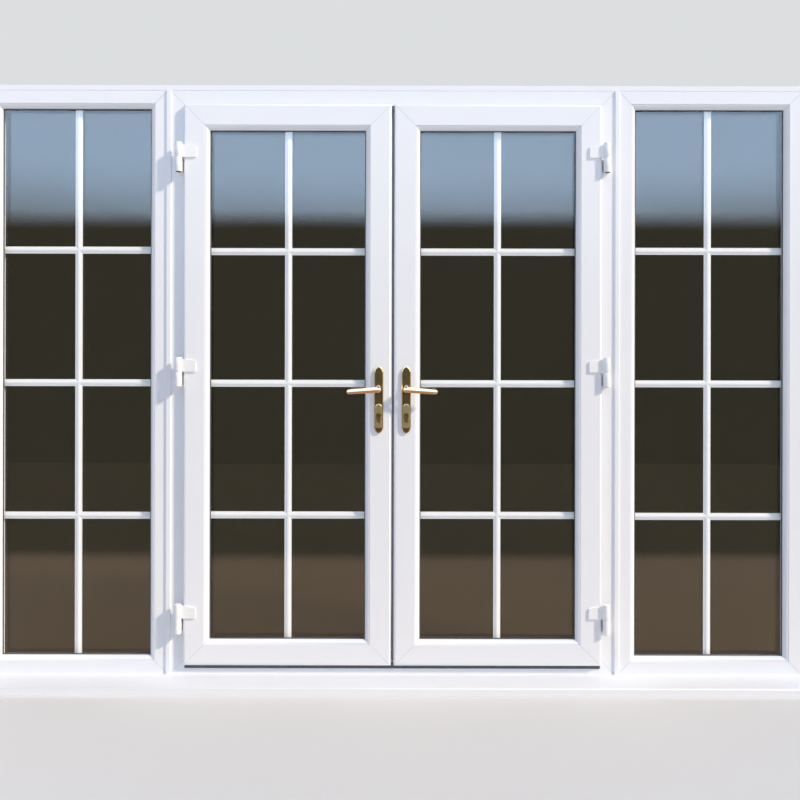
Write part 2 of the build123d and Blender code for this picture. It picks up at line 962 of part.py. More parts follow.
def mullion_keep():
    """The keep plate for the latch, let into the edge of the floating mullion."""
    left = mullion_centre_gap
    middle = latch_z
    return box_between(
        (left - keep_thickness / 2, groove_mid - keep_width / 2, middle - keep_length / 2),
        (left, groove_mid + keep_width / 2, middle + keep_length / 2),
    )


def keep_slot(z_low, z_high):
    """The slot that a shootbolt enters."""
    plane = Plane(origin=(body_edge_x + bolt_setback, groove_mid, z_low))
    return extrude(plane * SlotOverall(keep_slot_length, keep_slot_width), z_high - z_low)


def keep_plate(z_low, z_high):
    """A keep plate round a shootbolt's hole."""
    x = body_edge_x + bolt_setback
    return box_between(
        (x - keep_length / 2, groove_mid - keep_width / 2, z_low),
        (x + keep_length / 2, groove_mid + keep_width / 2, z_high),
    )


def shootbolt_keeps():
    """The two keep plates, in the head and in the threshold."""
    head_face = frame_top - frame_face
    sill_face = frame_bottom + threshold_face
    upper = keep_plate(head_face - keep_thickness, head_face)
    lower = keep_plate(sill_face, sill_face + keep_thickness)
    return Compound(
        children=[
            upper - keep_slot(head_face - keep_thickness - over_cut, head_face + over_cut),
            lower - keep_slot(sill_face - over_cut, sill_face + keep_thickness + over_cut),
        ]
    )


def door_frame():
    """The welded head and jambs, slotted for the top shootbolt."""
    section = door_frame_section(frame_face)
    left, right = side_members(
        section, -half_door, half_door, frame_bottom, frame_top, mitre_bottom=False
    )
    head = rail_member(section, -half_door, half_door, frame_top, False)
    body = left + right + head
    for groove in weld_grooves(
        -half_door,
        half_door,
        frame_bottom,
        frame_top,
        -weld_groove_width,
        frame_face - frame_edge_radius,
        [0, frame_depth],
        head_corners,
    ):
        body -= groove
    head_face = frame_top - frame_face
    return body - keep_slot(head_face - over_cut, head_face + bolt_throw)


def door_threshold():
    """The threshold between the jambs, with its upstand, slotted for the bottom shootbolt."""
    section = door_frame_section(threshold_face)
    place = Plane(origin=(sight_half, 0, frame_bottom), x_dir=(0, 0, 1), z_dir=(-1, 0, 0))
    body = place * extrude(section, 2 * sight_half)
    step = frame_depth - upstand_depth
    for side in (-1, 1):
        inner_x, outer_x = sight_half - upstand_height, sight_half + over_cut
        low_x, high_x = sorted((side * inner_x, side * outer_x))
        body -= box_between(
            (low_x, step, frame_bottom - over_cut), (high_x, frame_depth + over_cut, frame_top)
        )
    top = frame_bottom + threshold_face
    return body - keep_slot(top - bolt_throw, top + over_cut)


def frame_seal():
    """The outer seal behind the leaves' flanges, with its fin below them, and the inner seal."""
    width = leaf_overlap - 2 * seal_inset
    outer = flat_ring(
        -sight_half - leaf_overlap + seal_inset,
        sight_half + leaf_overlap - seal_inset,
        leaf_bottom + seal_inset,
        leaf_top - seal_inset,
        leaf_back + seal_clearance,
        0,
        width,
    )
    fin_x = sight_half + leaf_overlap - seal_inset
    outer += box_between(
        (-fin_x, leaf_back + seal_clearance, leaf_bottom - seal_fin_drop),
        (fin_x, 0, leaf_bottom + seal_inset),
    )
    inner_x = sight_half - upstand_height
    lap = leaf_outer - leaf_body_inset - inner_x
    step = frame_depth - upstand_depth
    inner = flat_ring(
        -inner_x - lap + seal_inset,
        inner_x + lap - seal_inset,
        leaf_bottom + leaf_body_inset + seal_inset,
        leaf_top - leaf_body_inset - seal_inset,
        leaf_inside + seal_clearance,
        step,
        lap - 2 * seal_inset,
    )
    return Compound(children=[outer, inner])


def sill_profile(x_start):
    """The sill's outline in the YZ plane at x_start, seen from the left end."""
    nose_y = -sill_projection
    ledge_z = sill_height - sill_ledge_drop
    groove_high = nose_y + drip_groove_inset + drip_groove_width
    outline = polygon(
        [
            (frame_depth, 0),
            (frame_depth, sill_height),
            (-sill_ledge, sill_height),
            (-sill_ledge, ledge_z),
            (nose_y, sill_nose_height),
            (nose_y, 0),
            (nose_y + drip_groove_inset, 0),
            (nose_y + drip_groove_inset, drip_groove_depth),
            (groove_high, drip_groove_depth),
            (groove_high, 0),
        ]
    )
    outline = rounded(outline, sill_nose_radius, (nose_y, sill_nose_height))
    return Plane(origin=(x_start, 0, 0), x_dir=(0, 1, 0), z_dir=(1, 0, 0)) * outline


def sill_chambers(x_start):
    """The closed chambers along the sill, each under its own stretch of the top."""
    faces = []
    start = -sill_projection + drip_groove_inset + drip_groove_width + sill_wall
    end = frame_depth - sill_wall
    count = max(1, round((end - start) / sill_chamber_pitch))
    pitch = (end - start + sill_wall) / count
    slope = (sill_height - sill_ledge_drop - sill_nose_height) / (sill_projection - sill_ledge)
    for index in range(count):
        low = start + index * pitch
        high = low + pitch - sill_wall
        heights = [
            min(sill_height, sill_nose_height + slope * (y + sill_projection)) - sill_wall
            for y in (low, high)
        ]
        level = min(heights) if high > -sill_ledge else None
        top_low, top_high = (level, level) if level else heights
        faces.append(polygon([(low, sill_wall), (high, sill_wall), (high, top_high), (low, top_low)]))
    plane = Plane(origin=(x_start, 0, 0), x_dir=(0, 1, 0), z_dir=(1, 0, 0))
    return [plane * face for face in faces]


def cill():
    """The hollow sill extrusion."""
    body = extrude(sill_profile(-half_width), 2 * half_width)
    for face in sill_chambers(-half_width):
        body -= extrude(face, 2 * half_width)
    return body


def cill_end_caps():
    """A cap on each end of the sill, which closes its chambers."""
    caps = [
        extrude(sill_profile(-half_width - end_cap_thickness), end_cap_thickness),
        extrude(sill_profile(half_width), end_cap_thickness),
    ]
    return Compound(children=caps)


def head_extension():
    """The profile over the whole set, with a fine line where it meets the frames."""
    body = box_between((-half_width, 0, frame_top), (half_width, frame_depth, overall_height))
    line = box_between(
        (-half_width - over_cut, -over_cut, frame_top),
        (half_width + over_cut, head_extension_groove, frame_top + head_extension_groove),
    )
    return body - line


def couplers():
    """The bar between door frame and sidelight on each side, with its cover strips."""
    bars = []
    for side in (-1, 1):
        low_x, high_x = sorted((side * half_door, side * sidelight_inner))
        middle = (low_x + high_x) / 2
        web = box_between((low_x, 0, frame_bottom), (high_x, frame_depth, frame_top))
        bar = web
        for face_y, out in ((0, -1), (frame_depth, 1)):
            y_low, y_high = sorted((face_y, face_y + out * coupler_strip_proud))
            strip = box_between(
                (middle - coupler_strip_width / 2, y_low, frame_bottom),
                (middle + coupler_strip_width / 2, y_high, frame_top),
            )
            crest = strip.faces().sort_by(Axis.Y)[0 if out < 0 else -1]
            edges = crest.edges().filter_by(Axis.Z)
            bar += fillet(edges, coupler_strip_radius)
        bars.append(bar)
    return Compound(children=bars)


def sidelight_span(side):
    """The lowest and highest x of a sidelight."""
    edges = sorted((side * sidelight_inner, side * sidelight_outer))
    return edges[0], edges[1]


def sidelight_frame(side):
    """One sidelight's welded frame."""
    x_low, x_high = sidelight_span(side)
    body = ring(sidelight_section(), x_low, x_high, frame_bottom, frame_top)
    for face_y, flat_to in ((0, frame_face - glazing_bevel), (frame_depth, frame_face - glazing_rebate)):
        for groove in weld_grooves(
            x_low,
            x_high,
            frame_bottom,
            frame_top,
            -weld_groove_width,
            flat_to,
            [face_y],
            all_corners,
        ):
            body -= groove
    return body


nodes = {
    "cill": cill(),
    "cill_end_caps": cill_end_caps(),
    "head_extension": head_extension(),
    "coupler_bars": couplers(),
    "door_frame": door_frame(),
    "door_threshold": door_threshold(),
    "frame_seal": frame_seal(),
    "shootbolt_keeps": shootbolt_keeps(),
}
for name, side in (("left", -1), ("right", 1)):
    light_low, light_high = sidelight_span(side)
    leaf_low, leaf_high = leaf_span(side)
    nodes[f"{name}_sidelight_frame"] = sidelight_frame(side)
    for piece, solid in glazed_unit(
        light_low,
        light_high,
        frame_bottom,
        frame_top,
        frame_face,
        lip_thickness,
        frame_depth,
        sidelight_bar_pitch,
    ).items():
        nodes[f"{name}_sidelight_{piece}"] = solid
    nodes[f"{name}_sash"] = sash(side)
    for piece, solid in glazed_unit(
        leaf_low,
        leaf_high,
        leaf_bottom,
        leaf_top,
        leaf_sight,
        leaf_front + lip_thickness,
        leaf_inside,
        leaf_bar_pitch,
    ).items():
        nodes[f"{name}_leaf_{piece}"] = solid
    nodes[f"{name}_hinge_flags"] = hinge_flags(side)
    nodes[f"{name}_hinge_brackets"] = hinge_brackets(side)
    nodes[f"{name}_hinge_pins"] = hinge_pins(side)
    nodes[f"{name}_lock_strip"] = lock_strip(side)
    nodes[f"{name}_key_cylinder"] = key_cylinder(side)
    nodes[f"{name}_outer_backplate"] = backplate(side, False)
    nodes[f"{name}_inner_backplate"] = backplate(side, True)
    nodes[f"{name}_outer_lever"] = lever(side, False)
    nodes[f"{name}_inner_lever"] = lever(side, True)
    nodes[f"{name}_spindle"] = spindle(side)

nodes["latch"] = latch()
nodes["locking_bar"] = locking_bar()
nodes["top_shootbolt"], nodes["bottom_shootbolt"] = bolt_pair()
nodes["floating_mullion"] = floating_mullion()
nodes["meeting_seal"] = meeting_seal()
nodes["mullion_keep"] = mullion_keep()

os.makedirs("parts", exist_ok=True)
for node, solid in nodes.items():
    export_step(solid, f"parts/{node}.step")
print(len(nodes), "nodes")
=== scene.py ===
import logging
import math
from dataclasses import dataclass, field
from enum import Enum
from typing import Any

import bmesh
import bpy
from mathutils import Matrix, Vector


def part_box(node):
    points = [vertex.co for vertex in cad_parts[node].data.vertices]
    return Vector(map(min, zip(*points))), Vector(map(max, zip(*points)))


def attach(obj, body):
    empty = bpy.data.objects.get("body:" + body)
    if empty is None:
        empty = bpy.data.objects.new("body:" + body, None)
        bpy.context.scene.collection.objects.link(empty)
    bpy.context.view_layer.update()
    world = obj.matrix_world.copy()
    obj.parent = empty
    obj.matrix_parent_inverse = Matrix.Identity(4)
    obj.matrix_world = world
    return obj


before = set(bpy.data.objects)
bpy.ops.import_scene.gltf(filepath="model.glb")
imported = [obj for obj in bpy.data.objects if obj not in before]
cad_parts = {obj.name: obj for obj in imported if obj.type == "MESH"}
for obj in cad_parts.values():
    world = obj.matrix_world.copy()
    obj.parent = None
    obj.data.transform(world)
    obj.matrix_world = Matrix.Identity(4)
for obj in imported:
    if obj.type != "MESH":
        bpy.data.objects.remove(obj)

# French doors with a fixed sidelight each side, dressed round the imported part.
# Everything is in metres in the part's own frame: X along the wall, +Y indoors, Z up.

LOG = logging.getLogger("french_doors")
MM = 0.001

# The radius that the die, the mould or the polishing wheel leaves on a sharp edge.
UPVC_EDGE_MM = 0.6
HINGE_EDGE_MM = 0.5
BRASS_EDGE_MM = 0.8
EDGE_SEGMENTS = 2
EDGE_ANGLE_DEG = 40.0
MERGE_GAP_MM = 0.002

# A ray counts its mirrors in whole numbers, so above this it has met one at least.
MIRRORED_ABOVE = 0.5


class Side(Enum):
    """The two halves of the doors, as seen from outside."""

    LEFT = "left"
    RIGHT = "right"


class Face(Enum):
    """The two faces of a leaf."""

    OUTER = "outer"
    INNER = "inner"


# ---------------------------------------------------------------- shared helpers


def linear(hex_code: str) -> tuple[float, float, float, float]:
    """Turns an sRGB colour into the linear values that Blender's shaders use.

    Args:
        hex_code: Six hex digits, with or without a leading #.

    Returns:
        Linear red, green and blue, and an alpha of 1.
    """
    digits = hex_code.lstrip("#")
    shades = [int(digits[i : i + 2], 16) / 255 for i in (0, 2, 4)]
    red, green, blue = (
        s / 12.92 if s <= 0.04045 else ((s + 0.055) / 1.055) ** 2.4 for s in shades
    )
    return red, green, blue, 1.0


def add_node(
    tree: bpy.types.NodeTree,
    kind: str,
    inputs: dict[Any, Any] | None = None,
    **settings: Any,
) -> bpy.types.Node:
    """Adds one node with its settings, values and links.

    Args:
        tree: The node tree that gets the node.
        kind: Blender's name for the node type.
        inputs: A value, or another node's output socket, for each input by name or number.
        **settings: Attributes of the node itself.

    Returns:
        The new node.
    """
    node = tree.nodes.new(kind)
    for name, value in settings.items():
        setattr(node, name, value)
    for key, value in (inputs or {}).items():
        if isinstance(value, bpy.types.NodeSocket):
            tree.links.new(value, node.inputs[key])
        else:
            node.inputs[key].default_value = value
    return node


def empty_material(name: str) -> tuple[bpy.types.Material, bpy.types.NodeTree]:
    """Makes a material with no nodes in it.

    Args:
        name: The finish's name.

    Returns:
        The material and its node tree.
    """
    material = bpy.data.materials.new(name)
    material.use_nodes = True
    material.node_tree.nodes.clear()
    return material, material.node_tree


def close_material(tree: bpy.types.NodeTree, shader: bpy.types.NodeSocket) -> None:
    """Joins the last shader to the material's output.

    Args:
        tree: The material's node tree.
        shader: The output socket of the last shader.
    """
    add_node(tree, "ShaderNodeOutputMaterial", {"Surface": shader})


def per_metre(size_mm: float) -> float:
    """The texture scale that gives a pattern of this size in millimetres."""
    return 1000.0 / size_mm


def dress(node: str, material: bpy.types.Material, edge_mm: float = 0.0) -> None:
    """Gives a CAD node its finish, and rounds its sharp edges a little.

    Args:
        node: The node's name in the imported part.
        material: The finish it takes.
        edge_mm: The radius of its sharp edges, or 0 to leave them sharp.
    """
    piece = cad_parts[node]
    piece.data.materials.clear()
    piece.data.materials.append(material)
    if edge_mm:
        weld = piece.modifiers.new("weld", "WELD")
        weld.merge_threshold = MERGE_GAP_MM * MM
        edge = piece.modifiers.new("edge", "BEVEL")
        edge.width = edge_mm * MM
        edge.segments = EDGE_SEGMENTS
        edge.limit_method = "ANGLE"
        edge.angle_limit = math.radians(EDGE_ANGLE_DEG)
        edge.use_clamp_overlap = True
        edge.harden_normals = True
    LOG.info("%s wears %s", node, material.name)


# ---------------------------------------------------------------- finishes


@dataclass(frozen=True)
class ExtrudedUpvc:
    """Rigid white PVC, extruded through a polished die and welded at its corners.

    The eye sees a clean satin white with a soft sheen. The die leaves very fine lines along
    each bar, which turn the corner at the mitre. The weld there is trimmed back to a faint
    dull line.
    """

    name: str = "extruded_white_upvc"
    colour: str = "#F0F1F3"
    shade: str = "#EFF0F2"
    weld: str = "#D3D6DB"
    weld_mm: float = 1.1
    roughness: float = 0.3
    roughness_spread: float = 0.02
    ior: float = 1.53
    die_line_mm: float = 1.6  # real lines are near 0.1 mm; drawn coarser so that they show
    die_line_run_mm: float = 260.0
    die_line_height_mm: float = 0.004
    die_line_detail: float = 2.0
    wave_mm: float = 140.0
    wave_height_mm: float = 0.012
    wave_detail: float = 1.0

    def mitred(self, node: str) -> bpy.types.Material:
        """Makes the finish for one welded ring, with die lines that follow its bars.

        Args:
            node: The CAD node, whose box says where the mitres run.

        Returns:
            The material.
        """
        low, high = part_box(node)
        centre = (Vector(low) + Vector(high)) / 2
        half = (Vector(high) - Vector(low)) / 2
        material, tree = empty_material(f"{self.name}_{node}")
        place = add_node(tree, "ShaderNodeTexCoord").outputs["Object"]
        parts = add_node(tree, "ShaderNodeSeparateXYZ", {"Vector": place}).outputs
        edges = []
        for axis, middle, reach in (("X", centre.x, half.x), ("Z", centre.z, half.z)):
            shift = add_node(
                tree, "ShaderNodeMath", {0: parts[axis], 1: middle}, operation="SUBTRACT"
            ).outputs[0]
            size = add_node(tree, "ShaderNodeMath", {0: shift}, operation="ABSOLUTE").outputs[0]
            edge = add_node(
                tree, "ShaderNodeMath", {0: reach, 1: size}, operation="SUBTRACT"
            ).outputs[0]
            edges.append(edge)
        upright = add_node(
            tree, "ShaderNodeMath", {0: edges[0], 1: edges[1]}, operation="LESS_THAN"
        ).outputs[0]
        weld = add_node(
            tree,
            "ShaderNodeMath",
            {0: edges[0], 1: edges[1], 2: self.weld_mm * MM},
            operation="COMPARE",
        ).outputs[0]
        return self._finish(material, tree, place, upright, weld)

    def straight(self, name: str, upright: bool) -> bpy.types.Material:
        """Makes the finish for a bar that runs one way only.

        Args:
            name: What the bar is, for the material's name.
            upright: Whether the bar stands, or else lies along X.

        Returns:
            The material.
        """
        material, tree = empty_material(f"{self.name}_{name}")
        place = add_node(tree, "ShaderNodeTexCoord").outputs["Object"]
        return self._finish(material, tree, place, 1.0 if upright else 0.0, 0.0)

    def _finish(
        self,
        material: bpy.types.Material,
        tree: bpy.types.NodeTree,
        place: bpy.types.NodeSocket,
        upright: Any,
        weld: Any,
    ) -> bpy.types.Material:
        """Adds the colour, the sheen and the surface to a ring or a bar.

        Args:
            material: The material.
            tree: Its node tree.
            place: Where the surface point is.
            upright: 1 where the bar stands, 0 where it lies, as a value or a socket.
            weld: 1 on the line of a weld, 0 elsewhere, as a value or a socket.

        Returns:
            The material.
        """
        fine, long = per_metre(self.die_line_mm), per_metre(self.die_line_run_mm)
        standing = add_node(
            tree, "ShaderNodeMapping", {"Vector": place, "Scale": (fine, fine, long)}
        ).outputs[0]
        lying = add_node(
            tree, "ShaderNodeMapping", {"Vector": place, "Scale": (long, fine, fine)}
        ).outputs[0]
        along = add_node(
            tree,
            "ShaderNodeMix",
            {"Factor": upright, "A": lying, "B": standing},
            data_type="VECTOR",
        ).outputs["Result"]
        lines = add_node(
            tree,
            "ShaderNodeTexNoise",
            {"Vector": along, "Scale": 1.0, "Detail": self.die_line_detail},
        ).outputs[0]
        waves = add_node(
            tree,
            "ShaderNodeTexNoise",
            {"Vector": place, "Scale": per_metre(self.wave_mm), "Detail": self.wave_detail},
        ).outputs[0]
        tone = add_node(
            tree,
            "ShaderNodeMix",
            {"Factor": waves, "A": linear(self.colour), "B": linear(self.shade)},
            data_type="RGBA",
        ).outputs["Result"]
        trimmed = add_node(
            tree,
            "ShaderNodeMix",
            {"Factor": weld, "A": tone, "B": linear(self.weld)},
            data_type="RGBA",
        ).outputs["Result"]
        gloss = add_node(
            tree,
            "ShaderNodeMapRange",
            {
                "Value": waves,
                "To Min": self.roughness - self.roughness_spread / 2,
                "To Max": self.roughness + self.roughness_spread / 2,
            },
        ).outputs[0]
        wavy = add_node(
            tree,
            "ShaderNodeBump",
            {"Height": waves, "Distance": self.wave_height_mm * MM, "Strength": 1.0},
        ).outputs[0]
        drawn = add_node(
            tree,
            "ShaderNodeBump",
            {
                "Height": lines,
                "Distance": self.die_line_height_mm * MM,
                "Strength": 1.0,
                "Normal": wavy,
            },
        ).outputs[0]
        shader = add_node(
            tree,
            "ShaderNodeBsdfPrincipled",
            {"Base Color": trimmed, "Roughness": gloss, "IOR": self.ior, "Normal": drawn},
        )
        close_material(tree, shader.outputs[0])
        return material


@dataclass(frozen=True)
class PowderCoat:
    """White polyester powder, baked on metal.

    It is brighter and smoother than the PVC beside it, with the faint orange peel that the
    powder leaves as it flows.
    """

    name: str
    colour: str
    roughness: float
    peel_mm: float = 1.8
    peel_height_mm: float = 0.02
    mottle_mm: float = 40.0
    roughness_spread: float = 0.08

    def make(self) -> bpy.types.Material:
        """Makes the finish.

        Returns:
            The material.
        """
        material, tree = empty_material(self.name)
        place = add_node(tree, "ShaderNodeTexCoord").outputs["Object"]
        peel = add_node(
            tree, "ShaderNodeTexNoise", {"Vector": place, "Scale": per_metre(self.peel_mm)}
        ).outputs[0]
        mottle = add_node(
            tree, "ShaderNodeTexNoise", {"Vector": place, "Scale": per_metre(self.mottle_mm)}
        ).outputs[0]
        gloss = add_node(
            tree,
            "ShaderNodeMapRange",
            {
                "Value": mottle,
                "To Min": self.roughness - self.roughness_spread / 2,
                "To Max": self.roughness + self.roughness_spread / 2,
            },
        ).outputs[0]
        surface = add_node(
            tree,
            "ShaderNodeBump",
            {"Height": peel, "Distance": self.peel_height_mm * MM, "Strength": 1.0},
        ).outputs[0]
        shader = add_node(
            tree,
            "ShaderNodeBsdfPrincipled",
            {"Base Color": linear(self.colour), "Roughness": gloss, "Normal": surface},
        )
        close_material(tree, shader.outputs[0])
        return material


@dataclass(frozen=True)
class FloatGlass:
    """Annealed float glass, 4 mm thick.

    It is almost flat, so it mirrors what stands before it with a slow wobble. The clear
    outer pane is barely green. The inner pane's deep brown grey body tint is painted shade,
    standing in for a dark room behind the doors, so that what lies behind it stays dark and
    the white bars in the cavity stand out against it.
    """

    name: str
    colour: str
    wobble_mm: float = 420.0
    wobble_height_mm: float = 0.15
    wobble_detail: float = 0.0
    ior: float = 1.52

    def make(self) -> bpy.types.Material:
        """Makes the finish.

        Lamps shine through it without bending, and each of a pane's two faces takes half of
        its tint.

        Returns:
            The material.
        """
        material, tree = empty_material(self.name)
        place = add_node(tree, "ShaderNodeTexCoord").outputs["Object"]
        wobble = add_node(
            tree,
            "ShaderNodeTexNoise",
            {
                "Vector": place,
                "Scale": per_metre(self.wobble_mm),
                "Detail": self.wobble_detail,
            },
        ).outputs[0]
        surface = add_node(
            tree,
            "ShaderNodeBump",
            {"Height": wobble, "Distance": self.wobble_height_mm * MM, "Strength": 1.0},
        ).outputs[0]
        glass = add_node(
            tree,
            "ShaderNodeBsdfPrincipled",
            {
                "Base Color": linear(self.colour),
                "Roughness": 0.0,
                "IOR": self.ior,
                "Transmission Weight": 1.0,
                "Normal": surface,
            },
        )
        per_face = [math.sqrt(channel) for channel in linear(self.colour)]
        see_through = add_node(tree, "ShaderNodeBsdfTransparent", {"Color": per_face})
        ray = add_node(tree, "ShaderNodeLightPath").outputs
        passing = add_node(
            tree,
            "ShaderNodeMath",
            {0: ray["Is Shadow Ray"], 1: ray["Is Diffuse Ray"]},
            operation="MAXIMUM",
        ).outputs[0]
        mixed = add_node(
            tree,
            "ShaderNodeMixShader",
            {0: passing, 1: glass.outputs[0], 2: see_through.outputs[0]},
        )
        close_material(tree, mixed.outputs[0])
        return material


@dataclass(frozen=True)
class DullPolymer:
    """A dull polymer with a fine grain, whose tone drifts between two shades."""

    name: str
    colour: str
    bloom: str
    roughness: float
    bloom_mm: float = 14.0
    bloom_detail: float = 4.0
    grain_mm: float = 1.2
    grain_height_mm: float = 0.03

    def make(self) -> bpy.types.Material:
        """Makes the finish.

        Returns:
            The material.
        """
        material, tree = empty_material(self.name)
        place = add_node(tree, "ShaderNodeTexCoord").outputs["Object"]
        bloom = add_node(
            tree,
            "ShaderNodeTexNoise",
            {"Vector": place, "Scale": per_metre(self.bloom_mm), "Detail": self.bloom_detail},
        ).outputs[0]
        tone = add_node(
            tree,
            "ShaderNodeMix",
            {"Factor": bloom, "A": linear(self.colour), "B": linear(self.bloom)},
            data_type="RGBA",
        ).outputs["Result"]
        grain = add_node(
            tree, "ShaderNodeTexNoise", {"Vector": place, "Scale": per_metre(self.grain_mm)}
        ).outputs[0]
        surface = add_node(
            tree,
            "ShaderNodeBump",
            {"Height": grain, "Distance": self.grain_height_mm * MM, "Strength": 1.0},
        ).outputs[0]
        shader = add_node(
            tree,
            "ShaderNodeBsdfPrincipled",
            {"Base Color": tone, "Roughness": self.roughness, "Normal": surface},
        )
        close_material(tree, shader.outputs[0])
        return material


@dataclass(frozen=True)
class EpdmRubber(DullPolymer):
    """Extruded EPDM weather seal, dull dark grey with a dusty bloom."""

    name: str = "extruded_epdm_rubber"
    colour: str = "#3C3D40"
    bloom: str = "#66676A"
    roughness: float = 0.62


@dataclass(frozen=True)
class MouldedNylon(DullPolymer):
    """Injection moulded nylon, a little shinier than the rubber; its dark brown is painted shade.
    """

    name: str = "brown_nylon_painted_shade"
    colour: str = "#3B2A20"
    bloom: str = "#4A382B"
    roughness: float = 0.45


@dataclass(frozen=True)
class PolishedBrass:
    """Brass, cast or turned, then polished and lacquered.

    The eye sees a warm mirror that is softened by fine polishing lines, with a slow change
    of tone where the lacquer has dulled and hands have handled it. A raised face that is
    left brushed spreads what it mirrors, and looks paler.
    """

    name: str
    colour: str
    worn: str
    roughness: float
    roughness_spread: float = 0.10
    tone_mm: float = 22.0
    tone_detail: float = 3.0
    polish_mm: float = 1.4  # real polishing marks are near 0.05 mm; drawn coarser to show
    polish_run_mm: float = 26.0
    polish_height_mm: float = 0.006
    lacquer_weight: float = 0.4
    lacquer_roughness: float = 0.08
    brushed_faces: tuple[float, ...] = ()  # the Y of raised faces that are left brushed
    brushed_reach_mm: float = 1.3
    brushed_roughness: float = 0.42

    def make(self) -> bpy.types.Material:
        """Makes the finish.

        Returns:
            The material.
        """
        material, tree = empty_material(self.name)
        place = add_node(tree, "ShaderNodeTexCoord").outputs["Object"]
        tone_map = add_node(
            tree,
            "ShaderNodeTexNoise",
            {"Vector": place, "Scale": per_metre(self.tone_mm), "Detail": self.tone_detail},
        ).outputs[0]
        tone = add_node(
            tree,
            "ShaderNodeMix",
            {"Factor": tone_map, "A": linear(self.colour), "B": linear(self.worn)},
            data_type="RGBA",
        ).outputs["Result"]
        gloss = add_node(
            tree,
            "ShaderNodeMapRange",
            {
                "Value": tone_map,
                "To Min": self.roughness - self.roughness_spread / 2,
                "To Max": self.roughness + self.roughness_spread / 2,
            },
        ).outputs[0]
        if self.brushed_faces:
            gloss = self._brush(tree, place, gloss)
        fine, long = per_metre(self.polish_mm), per_metre(self.polish_run_mm)
        stretched = add_node(
            tree, "ShaderNodeMapping", {"Vector": place, "Scale": (fine, fine, long)}
        ).outputs[0]
        marks = add_node(
            tree, "ShaderNodeTexNoise", {"Vector": stretched, "Scale": 1.0}
        ).outputs[0]
        surface = add_node(
            tree,
            "ShaderNodeBump",
            {"Height": marks, "Distance": self.polish_height_mm * MM, "Strength": 1.0},
        ).outputs[0]
        shader = add_node(
            tree,
            "ShaderNodeBsdfPrincipled",
            {
                "Base Color": tone,
                "Metallic": 1.0,
                "Roughness": gloss,
                "Coat Weight": self.lacquer_weight,
                "Coat Roughness": self.lacquer_roughness,
                "Normal": surface,
            },
        )
        close_material(tree, shader.outputs[0])
        return material

    def _brush(
        self, tree: bpy.types.NodeTree, place: bpy.types.NodeSocket, gloss: bpy.types.NodeSocket
    ) -> bpy.types.NodeSocket:
        """Roughens the raised faces that are left brushed.

        Args:
            tree: The material's node tree.
            place: Where the surface point is.
            gloss: The roughness of the polished faces.

        Returns:
            The roughness of all faces.
        """
        across = add_node(tree, "ShaderNodeSeparateXYZ", {"Vector": place}).outputs["Y"]
        for face_y in self.brushed_faces:
            raised = add_node(
                tree,
                "ShaderNodeMath",
                {0: across, 1: face_y, 2: self.brushed_reach_mm * MM},
                operation="COMPARE",
            ).outputs[0]
            gloss = add_node(
                tree,
                "ShaderNodeMix",
                {"Factor": raised, "A": gloss, "B": self.brushed_roughness},
                data_type="FLOAT",
            ).outputs["Result"]
        return gloss


@dataclass(frozen=True)
class ZincPlatedSteel:
    """Bright zinc plated steel strip, with the soft cloudiness of the plating."""

    name: str = "zinc_plated_steel"
    colour: str = "#C2C4C8"
    cloud: str = "#A9ABAE"
    roughness: float = 0.32
    roughness_spread: float = 0.14
    cloud_mm: float = 9.0
    cloud_detail: float = 5.0

    def make(self) -> bpy.types.Material:
        """Makes the finish.

        Returns:
            The material.
        """
        material, tree = empty_material(self.name)
        place = add_node(tree, "ShaderNodeTexCoord").outputs["Object"]
        cloud = add_node(
            tree,
            "ShaderNodeTexNoise",
            {"Vector": place, "Scale": per_metre(self.cloud_mm), "Detail": self.cloud_detail},
        ).outputs[0]
        tone = add_node(
            tree,
            "ShaderNodeMix",
            {"Factor": cloud, "A": linear(self.colour), "B": linear(self.cloud)},
            data_type="RGBA",
        ).outputs["Result"]
        gloss = add_node(
            tree,
            "ShaderNodeMapRange",
            {
                "Value": cloud,
                "To Min": self.roughness - self.roughness_spread / 2,
                "To Max": self.roughness + self.roughness_spread / 2,
            },
        ).outputs[0]
        shader = add_node(
            tree,
            "ShaderNodeBsdfPrincipled",
            {"Base Color": tone, "Metallic": 1.0, "Roughness": gloss},
        )
        close_material(tree, shader.outputs[0])
        return material


# ---------------------------------------------------------------- small fasteners


def add_rings(
    mesh: bmesh.types.BMesh, seat: Matrix, levels: list[tuple[list[float], float]]
) -> list[list[bmesh.types.BMVert]]:
    """Adds rings of vertices round a seat's Z and joins each to the next.

    Args:
        mesh: The mesh that gets the rings.
        seat: Where the rings sit. Its Z points away from the surface.
        levels: For each ring, how far its vertices stand from the middle, and its height.

    Returns:
        The vertices of each ring.
    """
    rings = []
    for reaches, height in levels:
        turns = [2 * math.pi * i / len(reaches) for i in range(len(reaches))]
        ring = [
            mesh.verts.new(seat @ Vector((reach * math.cos(turn), reach * math.sin(turn), height)))
            for reach, turn in zip(reaches, turns)
        ]
        rings.append(ring)
    for lower, upper in zip(rings, rings[1:]):
        for i in range(len(lower)):
            j = (i + 1) % len(lower)
            mesh.faces.new((lower[i], lower[j], upper[j], upper[i]))
    return rings


